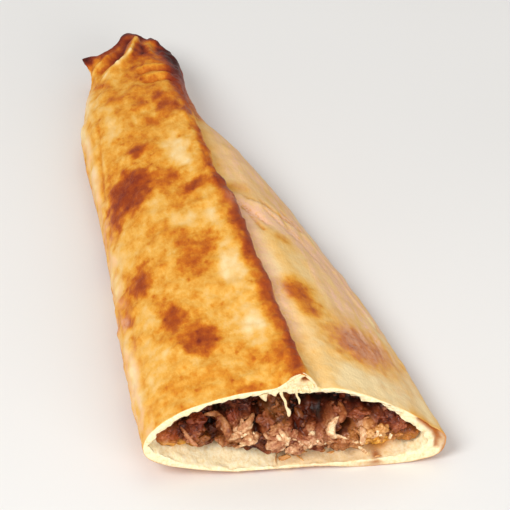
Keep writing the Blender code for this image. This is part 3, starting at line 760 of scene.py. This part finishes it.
filling = {
    "seed": 11,
    "gap": .36,
    "recess": 2.2, "leftRecess": 5.4, "rightRecess": 2.5, "topRecess": 12, "footRecess": 3.6,
    "faceCentre": (-1, 18),
    # how far across and up a place seems to move for each millimetre behind the cut
    "slip": (-.27, .91),
    "columns": 240, "faceRows": 80, "bodyRows": 56,
    # shares of the length: at the face's rim, at the rim crumbs keep clear of, and left free at the end
    "rimShare": .03,
    "roomShare": .045,
    "backGap": .0015,
    # lumps of the face: size, seed, depth
    "faceLumps": ((5, 41, 2.6), (2.4, 42, 1.9), (1.1, 45, .5)),
    # how many crumbs, their sizes, and how finely each is cut
    "crumbs": {"minceLumps": (70, (1.3, 2.9), 4), "minceGrains": (420, (.4, 1.2), 2)},
    "shreds": 8,
    # where crumbs may lie, how many places are tried for each, and against how many others
    "across": (-47, 44),
    "up": (4, 34),
    "tries": 16,
    "compared": 120,
    # the mince outside the regions, as in them, and its weight against theirs
    "elsewhere": (.34, .3, 0, 0),
    "elsewhereWeight": .18,
    # x, z, half width, half height, lightness, redness, oil, and how much deeper it lies; near-black
    # lightness is painted shade in the caves, crevices and under the roof, and a few small bright ones are
    # painted highlight
    "regions": (
        (-47, 20.5, 4.4, 3, .62, 1.3, .1, 0), (-41, 22, 3, 2.6, .46, 1.4, .05, 0),
        (-41, 17, 6, 1.5, .46, .7, .7, 0), (-38.5, 28, 3.4, 1.8, .04, .3, 0, 3),
        (-36, 21, 1.8, 3, .4, .8, 0, 0), (-33.5, 26, 3.6, 2.4, .3, 1, 0, -.5),
        (-34.5, 22.4, 1.4, 1, .6, .3, 0, -.5), (-32, 18, 3.4, 2.4, .34, .5, .05, 0),
        (-27.8, 21, 2.2, 5.2, .01, .2, 0, 5), (-29, 30, 4, 1.6, .08, .3, 0, 2),
        (-24, 24, 1.8, 5, .46, .1, 0, -1), (-21, 29, 3.2, 2, .34, 1, 0, 0),
        (-16, 30.5, 4, 2, .16, .4, 0, 1.5), (-16.5, 26, 4.4, 2, .62, .25, 0, -1),
        (-17, 20, 5, 3.6, .84, 0, .05, -2), (-22.5, 17, 2.4, 2.4, .5, .1, .1, 0),
        (-17.5, 14, 4, 1.1, .12, .4, .1, 1.5), (-11.8, 26, 2, 8.5, .01, .1, 0, 6),
        (-12, 18, 1.2, 3, .06, .2, 0, 4), (-13, 14, 2, 1.4, .2, .3, 0, 1),
        (-7.5, 30, 3.4, 5, .3, .5, .1, -.5), (-9, 23, 2, 3, .34, .3, 0, 0),
        (-9.4, 18.4, 1.8, 1.6, .7, 0, 0, -.5), (-4.6, 23, 2, 3, .2, .2, .1, 1),
        (-3, 18, 2.2, 3, .76, .05, 0, -.5), (0, 25, 1.6, 4, .2, .3, 0, 1), (2.6, 23, 1.8, 4.6, .16, .5, 0, 1),
        (3, 17.6, 1.2, 1.4, .1, .2, 0, 2), (7, 28, 5, 8, .01, .1, 0, 6), (6, 18.5, 1.8, 1.5, .84, 0, 0, -1),
        (2, 13, 5, 2.6, .66, .1, 0, -.5), (8, 14, 3, 3, .62, .15, 0, 0), (5, 10.4, 1.4, 1, .2, .4, 0, .5),
        (15.4, 27, 2.4, 4, .42, .4, 0, -.5), (20, 28, 3.4, 3.6, .26, .6, 0, 1),
        (27, 28.6, 2.6, 2.2, .04, .2, 0, 3), (13.2, 19, 2, 4.4, .8, .05, .05, -.5),
        (17.8, 19.6, 3.4, 2.4, .0, 0, 0, 5), (15.4, 16, 1.2, 2, .06, .1, 0, 2),
        (22, 18.4, 2, 2.6, .46, .3, .1, 0), (17, 11, 4, 2.8, .46, .3, .1, 0),
        (25, 17, 3.4, 4, .68, 0, .25, -.5), (22.5, 11.5, 1.4, 2.6, .82, 0, .1, -1),
        (25.4, 11, 1, 1.6, .2, .1, .6, 1), (29, 11, 5, 3.6, .62, 0, 1, 0), (32, 22, 4.4, 3.6, .32, .7, 0, 0),
        (37, 25, 3, 2, .12, .5, 0, 1), (38, 18, 3, 3.4, .42, .8, 0, 0), (39.5, 13, 4, 2.6, .4, 1, .3, 0),
        (41.5, 19, 2, 2, .04, .2, 0, 2.5), (-19, 33.5, 7, 2, .05, .3, 0, 2), (17, 33, 6, 2, .06, .2, 0, 2),
        (-30, 31, 5, 1.6, .05, .3, 0, 2), (24, 31, 4, 1.6, .05, .3, 0, 2),
    ),
    # strips of onion seen on the face: x, z along each, radii, lightness, redness
    "curls": (
        (((16.4, 26.4), (13.6, 23.8), (12.4, 20.4), (12.8, 16.8), (15, 14.4), (18.6, 14.6)),
         (.5, 1.2, 1.6, 1.5, 1, .5), .84, 0),
        (((11, 19), (11.6, 16), (13.4, 13.4)), (.3, .45, .4), .6, .1),
        (((-39.6, 25), (-37.8, 21.8), (-36, 19.2), (-34, 17.4)), (.5, .8, .8, .5), .6, .55),
        (((-31.4, 29.4), (-27.6, 29.2), (-24.8, 26.6), (-23.8, 22.6), (-23.6, 18.6)),
         (.8, 1.3, 1.5, 1.4, .8), .46, .15),
        (((-20.8, 24.4), (-17, 26.2), (-13.6, 27.2)), (.9, 1.5, 1.1), .66, .2),
        (((-21.2, 15.2), (-18, 16.8), (-14.4, 16.8)), (.5, .8, .6), .82, .05),
        (((-5.8, 21), (-4.2, 19), (-2.6, 16.8)), (.5, .9, .9), .84, 0),
        (((.8, 28), (2.6, 24), (3.4, 19.6)), (.9, 1.4, 1), .26, .5),
        (((22.6, 20.4), (23.6, 17), (22.6, 13.4)), (.8, 1.3, 1), .74, 0),
        (((21.6, 12.4), (23.4, 10.4), (25.4, 8)), (.5, .7, .5), .88, 0),
        (((15.8, 30.4), (16.4, 27), (15.2, 23.8)), (.8, 1.5, 1.1), .44, .4),
        (((26.8, 14.6), (28.4, 16.6), (28.8, 19.6)), (.5, .8, .6), .8, 0),
    ),
    # pale specks, painted glints of light on the wet mince: x, z, size
    "paintedGlints": (
        (-2.4, 17.2, .7), (6, 18.4, .8), (28.8, 18.6, .7), (29.4, 16.6, .5), (32.6, 16.6, .8),
        (33.8, 15.2, .5), (10.6, 12.8, .6), (7.8, 15, .5), (-14, 19, .5), (-19, 21.4, .5), (0, 15.6, .5),
        (3.6, 12.4, .5),
    ),
    # scraps that lie on the dough in front: x, z, size
    "strays": (
        (-3.4, 6.4, 2.3), (2.6, 8.6, 1.7), (-5.6, 9.6, .9), (9.6, 8.4, 1.3), (13, 7.6, 1.4),
        (16.8, 8.2, 1.2), (29.2, 4.2, 1.1), (28.6, 7, .8), (35.8, 9.2, .9), (37.8, 8.6, .8),
        (-13.4, 10.4, .8), (-29.6, 14, .7), (-21.4, 12, .8), (19.4, 9.4, .9), (6.4, 9.6, .9),
    ),
    # thin skins beside them, as x, z along each
    "skins": (((-6.2, 3.6), (-6.4, 7), (-5.2, 10), (-1.6, 10.8), (1.6, 8.2), (4.6, 8.8)),
              ((-1.2, 9.8), (1, 7.2), (3.4, 4.6))),
}


def regionsAt(x, z):
    # lightness, redness, oil and depth of the mince that seems to lie at x, z on the cut; the lightness holds
    # painted shade and highlight
    weight = np.full(np.shape(x), filling["elsewhereWeight"])
    totals = [weight * value for value in filling["elsewhere"]]
    for px, pz, halfWidth, halfHeight, *values in filling["regions"]:
        near = blot(x, z, (px, pz), halfWidth, halfHeight)
        weight = weight + near
        totals = [total + near * value for total, value in zip(totals, values)]
    return [total / weight for total in totals]


def plainRecess(x, z):
    depth = filling["recess"] + filling["leftRecess"] * (ease(-4, -24, x) - .4 * ease(-36, -46, x))
    depth = depth + filling["rightRecess"] * ease(20, 40, x)
    foot = ease(12, 3, z) * (1 - ease(34, 42, x)) * (1 - ease(-30, -42, x))
    return depth + filling["topRecess"] * ease(12, 32, z) + filling["footRecess"] * foot


def seenAt(x, z):
    # where a place on the face seems to lie on the cut
    depth = plainRecess(x, z)
    return x + depth * filling["slip"][0], z + depth * filling["slip"][1]


def lumpsAt(x, z):
    # how much deeper the lumps of the mince make a place
    return sum(noiseAt(x, 0, z, size, seed) * depth for size, seed, depth in filling["faceLumps"])


def facePlace(x, z):
    # a place on the filling's face
    depth = plainRecess(x, z) + lumpsAt(x, z) + regionsAt(*seenAt(x, z))[3] * 1.4
    return np.stack((x, alongCut(x) + depth, z), axis=-1)


def faceFromSeen(seenX, seenZ):
    # the place on the face that seems to lie at seenX, seenZ on the cut
    x, z = seenX, seenZ
    for _ in range(30):
        nowX, nowZ = seenAt(x, z)
        x, z = x + (seenX - nowX) * .6, z + (seenZ - nowZ) * .6
    return Vector(facePlace(x, z))


def floorFromSeen(x, z):
    # the place on the cut or on the dough floor that seems to lie at x, z on the cut
    depth = max(0, z - 3.2) / filling["slip"][1]
    x -= depth * filling["slip"][0]
    return Vector((x, alongCut(x) + depth, min(z, 3.4)))


minceLayers = ("tone", "red", "oil")


def mincePaint():
    paint = Paint("cookedMince", **{"Specular IOR Level": .25, "Coat Weight": .22, "Coat Roughness": .12})
    tone, red, oil = [paint.layer(key) for key in minceLayers]
    speckle = paint.noise(.9, 4, .6)
    clump = paint.noise(2.6, 3)
    level = tone * (.88 + (speckle - .5) * 1.1 + (clump - .5) * 1.5)
    meat = paint.ramp(level, (
        (.03, 30, 7, 2), (.18, 92, 33, 9), (.36, 150, 82, 46), (.56, 194, 138, 96),
        (.76, 226, 184, 140), (.95, 252, 230, 188),
    ))
    ruddy = paint.mix((red * .7).clamped(), meat, colour(206, 84, 34), "MULTIPLY")
    oily = (oil * paint.between(.2, .55, clump)).clamped()
    paint.feed("Base Color", paint.mix(oily, ruddy, colour(252, 186, 60)))
    paint.feed("Roughness", .46 - .16 * oil - .16 * paint.between(.45, .7, clump))
    paint.bump(speckle * .7 + clump * .3, .35)
    return paint


minceMaterial = mincePaint()


def makeMinceCore():
    angles = np.linspace(-math.pi, math.pi, filling["columns"] + 1)
    rim = hollowPlace(angles, np.full_like(angles, filling["rimShare"]), filling["gap"])
    scale = (np.arange(filling["faceRows"] + 1) / filling["faceRows"])[:, None]
    centreX, centreZ = filling["faceCentre"]
    x, z = centreX + (rim[:, 0] - centreX) * scale, centreZ + (rim[:, 2] - centreZ) * scale
    face = facePlace(x, z)
    depth = face[-1, :, 1] + face[-1, :, 0] * outline["cutSlant"]
    frontShare = np.clip(depth / outline["length"], .002, .12)
    even = (np.arange(1, filling["bodyRows"] + 1) / filling["bodyRows"])[:, None]
    shares = frontShare + (hollow["end"] - filling["backGap"] - frontShare) * even ** 1.6
    body = hollowPlace(np.broadcast_to(angles, shares.shape), shares, filling["gap"])
    back = body[-1].mean(axis=0)
    closing = (np.arange(1, 4) / 3)[:, None, None]
    cap = body[-1] + (back - body[-1]) * closing
    places = np.concatenate((face, body, cap))
    tone, red, oil, _ = regionsAt(*seenAt(places[..., 0], places[..., 2]))
    # deeper places between the lumps are darker and raised ones paler: painted shade and highlight
    tone = np.clip(tone * .9 - lumpsAt(places[..., 0], places[..., 2]) * .1, 0, 1)
    layers = {"tone": tone, "red": red, "oil": oil}
    piece = finishPiece("minceCore", rolledSheet(places, layers), minceMaterial)
    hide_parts("filling")


def rimRoom(x, z, rim):
    # distance from a place on the face to the crust round it
    start, end = rim, np.roll(rim, -1, axis=0)
    dx, dz = end[:, 0] - start[:, 0], end[:, 2] - start[:, 2]
    return np.min(((x - start[:, 0]) * dz - (z - start[:, 2]) * dx) / np.hypot(dx, dz))


def shadeVerts(verts, shades, values):
    for vertex in verts:
        for shade, value in zip(shades, values):
            vertex[shade] = value


def addCrumb(shape, draw, place, size, detail, thin=1.0):
    made = bmesh.ops.create_icosphere(shape, subdivisions=detail, radius=1)["verts"]
    spin = draw.uniform(0, 6.28)
    turn = Matrix.Rotation(spin, 3, Vector((draw.random(), draw.random(), draw.random() + .1)))
    stretch = Matrix.Diagonal((draw.uniform(.9, 1.7), draw.uniform(.6, 1.1), draw.uniform(.5, .95)))
    seed = Vector((draw.uniform(0, 50), draw.uniform(0, 50), 0))
    for vertex in made:
        lump = 1 + noise.noise(vertex.co * 1.2 + seed) * .6 + noise.noise(vertex.co * 2.8 + seed) * .3
        offset = turn @ stretch @ vertex.co * size * lump
        vertex.co = place + Vector((offset.x, offset.y * thin, offset.z * (.5 + .5 * thin)))
    return made


def facePlaces(draw, clearances):
    # even places on the filling's face that keep their distance from the crust
    angles = np.linspace(0, 2 * math.pi, 36, endpoint=False)
    rim = hollowPlace(angles, np.full_like(angles, filling["roomShare"]), filling["gap"])
    chosen = []
    for clearance in clearances:
        best, bestRoom = None, -1
        for _ in range(filling["tries"]):
            x, z = draw.uniform(*filling["across"]), draw.uniform(*filling["up"])
            if rimRoom(x, z, rim) < clearance:
                continue
            others = chosen[-filling["compared"]:]
            room = min((math.dist((x, z), other) for other in others), default=math.inf)
            if room > bestRoom:
                best, bestRoom = (x, z), room
        if best:
            chosen.append(best)
    return chosen


def crumbShade(draw, x, z, spread=.25):
    # a crumb's lightness, painted shade included, with its redness and oil
    tone, red, oil, _ = regionsAt(*seenAt(x, z))
    return min(1, max(.03, float(tone) * draw.gauss(1.1, spread))), float(red), float(oil)


def addScraps(shape, shades, draw):
    # the pale specks that paint glints of light, and the scraps on the dough in front
    for x, z, size in filling["paintedGlints"]:
        made = addCrumb(shape, draw, faceFromSeen(x, z) - Vector((0, 1.2, 0)), size, 3)
        shadeVerts(made, shades, (.92, 0, 0))
    for x, z, size in filling["strays"]:
        made = addCrumb(shape, draw, floorFromSeen(x, z), size, 3, .35)
        shadeVerts(made, shades, (draw.uniform(.42, .7), .3, .3))


def makeCrumbs():
    draw = random.Random(filling["seed"])
    for name, (count, sizes, detail) in filling["crumbs"].items():
        shape, shades = newShape(minceLayers)
        wanted = sorted((draw.uniform(*sizes) for _ in range(count)), reverse=True)
        spots = facePlaces(draw, [size * 1.2 for size in wanted])
        for size, (x, z) in zip(wanted, spots):
            middle = Vector(facePlace(x, z)) + Vector((0, size * draw.uniform(0, .7), 0))
            shade = crumbShade(draw, x, z)
            # no crumbs where the regions paint shade, so the dark stays bare
            if regionsAt(*seenAt(x, z))[0] > .09:
                shadeVerts(addCrumb(shape, draw, middle, size, detail), shades, shade)
        if name == "minceGrains":
            addScraps(shape, shades, draw)
        finishPiece(name, shape, minceMaterial)


def addStrand(shape, path, radii, flatness=.6, cuts=14, sides=8):
    # a tube along a smooth path of points, with a radius at each
    at = np.linspace(0, 1, len(path))
    before = len(shape.verts)
    bmesh.ops.create_cone(shape, cap_ends=True, segments=sides, radius1=1, radius2=1, depth=2)
    shape.verts.ensure_lookup_table()
    edges = {edge for vertex in shape.verts[before:] for edge in vertex.link_edges}
    upright = [edge for edge in edges if abs(edge.verts[0].co.z - edge.verts[1].co.z) > 1]
    bmesh.ops.subdivide_edges(shape, edges=upright, cuts=cuts, use_grid_fill=True)
    shape.verts.ensure_lookup_table()
    made = shape.verts[before:]
    share = np.array([(vertex.co.z + 1) / 2 for vertex in made])
    lines = [list(zip(at, values)) for values in np.array(path, float).T]
    here, ahead, behind = (
        np.stack([curve(line, np.clip(share + step, 0, 1)) for line in lines], axis=-1)
        for step in (0, .02, -.02)
    )
    swell = np.sqrt(np.maximum(.12, 1 - np.abs(2 * share - 1) ** 6)) * curve(list(zip(at, radii)), share)
    for vertex, spot, forward, radius in zip(made, here, ahead - behind, swell):
        forward = Vector(forward).normalized()
        sideways = forward.cross(Vector((0, 1, 0))).normalized()
        outward = sideways.cross(forward)
        vertex.co = Vector(spot) + (sideways * vertex.co.x + outward * vertex.co.y * flatness) * radius
    return made


def makeOnion():
    draw = random.Random(filling["seed"] + 1)
    shape, shades = newShape(minceLayers)
    for line, radii, tone, red in filling["curls"]:
        path = [faceFromSeen(x, z) - Vector((0, 1.8, 0)) for x, z in line]
        shadeVerts(addStrand(shape, path, radii, cuts=24, sides=12), shades, (tone, red, .05))
    for line in filling["skins"]:
        path = [floorFromSeen(x, z) - Vector((0, .3, -.2)) for x, z in line]
        shadeVerts(addStrand(shape, path, [.32] * len(path), cuts=24), shades, (.5, .3, .4))
    for x, z in facePlaces(draw, [4.5] * filling["shreds"]):
        turn, length, bend = draw.uniform(0, math.pi), draw.uniform(3, 7), draw.uniform(-1.6, 1.6)
        path = []
        for step in (-1, -.4, .2, .8):
            px = x + math.cos(turn) * step * length / 2 - math.sin(turn) * bend * step * step
            pz = z + math.sin(turn) * step * length / 2 + math.cos(turn) * bend * step * step
            place = facePlace(px, pz)
            path.append(Vector(place) - Vector((0, draw.uniform(.5, 1.1), 0)))
        made = addStrand(shape, path, [draw.uniform(.5, 1.1) for _ in path], cuts=9, sides=6)
        tone, red, oil = crumbShade(draw, x, z, .1)
        shadeVerts(made, shades, (min(.85, tone + .1), red * .5, oil))
    finishPiece("onionShreds", shape, minceMaterial)


# Torn dough that hangs from the roof, and crumbs of it round the lap.

tornDough = {
    "seed": 5,
    # x, z points along each strand, then its radii
    "strands": (
        (((-4.6, 37), (-4.1, 34.8), (-3.1, 32.6), (-2.9, 30.4), (-2, 28.4), (-2.1, 26.4)),
         (1.2, .45, .5, .4, .8, .8)),
        (((.6, 37.4), (.9, 34.8), (1.7, 32.8), (1.6, 31.2)), (.9, .36, .4, .25)),
        (((-10.6, 36.6), (-10.3, 35), (-9.7, 33.4)), (2, 1.1, .3)), (((-7.4, 36.8), (-6.2, 35.2)), (1, .4)),
        (((-3.4, 38.4), (-1.2, 42.2), (2.2, 44.6)), (.5, .6, .4)),
        (((3, 44.6), (5.4, 42), (7.6, 38.8)), (.4, .55, .4)),
    ),
    "bits": 70,
}


def makeTornDough():
    draw = random.Random(tornDough["seed"])
    shape, shades = newShape(crustLayers)
    for line, radii in tornDough["strands"]:
        path = [Vector((x, alongCut(x) + .5 - .3 * step, z)) for step, (x, z) in enumerate(line)]
        shadeVerts(addStrand(shape, path, radii, .8), shades, (.06, 0, 1, .26))
    for _ in range(tornDough["bits"]):
        x, z = draw.gauss(2, 3), draw.uniform(36.4, 42)
        size = draw.uniform(.3, 1.0)
        beyond = z + size > topHeight(x, 0) + .4
        if beyond or math.dist((x, z), cut["shadedHole"]) < 1.4 + size:
            continue
        made = addCrumb(shape, draw, Vector((x, alongCut(x) + .1, z)), size, 3)
        shadeVerts(made, shades, (draw.uniform(0, .2), 0, 1, draw.uniform(0, .3)))
    finishPiece("tornDough", shape, crustMaterial)


makeMinceCore()
makeCrumbs()
makeOnion()
makeTornDough()


# The stage: floor, lamps, pale room and camera.

stage = {
    "cameraPlace": (-.2563, -1.0548, .8719),
    "aim": (.0105, -.0235, .02),
    "lens": 262.0,
    # lumps of tone in millimetres, and the two tones
    "floorLumps": 300,
    "floorTones": ((.3, 233, 232, 230), (.7, 238, 237, 235)),
    # place, size, watts, colour
    "lights": {
        "key": ((-.9, -.7, 1.25), .8, 17, (1, .98, .95)),
        "fill": ((.4, -1.5, .5), 1.2, 12, (1, .98, .96)),
        "top": ((.1, .5, 1.9), 1.4, 4, (1, 1, 1)),
    },
    "sky": .42,
}


def makeStage():
    shape = bmesh.new()
    bmesh.ops.create_grid(shape, x_segments=8, y_segments=8, size=6)
    paint = Paint("paleFloor", Roughness=.7)
    paint.feed("Base Color", paint.ramp(paint.noise(stage["floorLumps"], 2), stage["floorTones"]))
    floor = addObject("floor", meshOf("floor", shape, paint))

    for name, (place, size, watts, tint) in stage["lights"].items():
        lamp = bpy.data.lights.new(name, "AREA")
        lamp.shape = "DISK"
        lamp.size = size
        lamp.energy = watts
        lamp.color = tint
        holder = addObject(name, lamp)
        holder.location = place
        holder.rotation_euler = (-Vector(place)).to_track_quat("-Z", "Y").to_euler()

    world = bpy.data.worlds.new("paleRoom")
    world.use_nodes = True
    background = world.node_tree.nodes["Background"]
    background.inputs["Color"].default_value = (1, 1, 1, 1)
    background.inputs["Strength"].default_value = stage["sky"]
    bpy.context.scene.world = world
    bpy.context.scene.view_settings.view_transform = "Standard"

    lens = bpy.data.cameras.new("camera")
    lens.lens = stage["lens"]
    lens.clip_end = 20
    camera = addObject("camera", lens)
    camera.location = stage["cameraPlace"]
    aim = Vector(stage["aim"]) - camera.location
    camera.rotation_euler = aim.to_track_quat("-Z", "Y").to_euler()
    bpy.context.scene.camera = camera
    print("stage set")


makeStage()
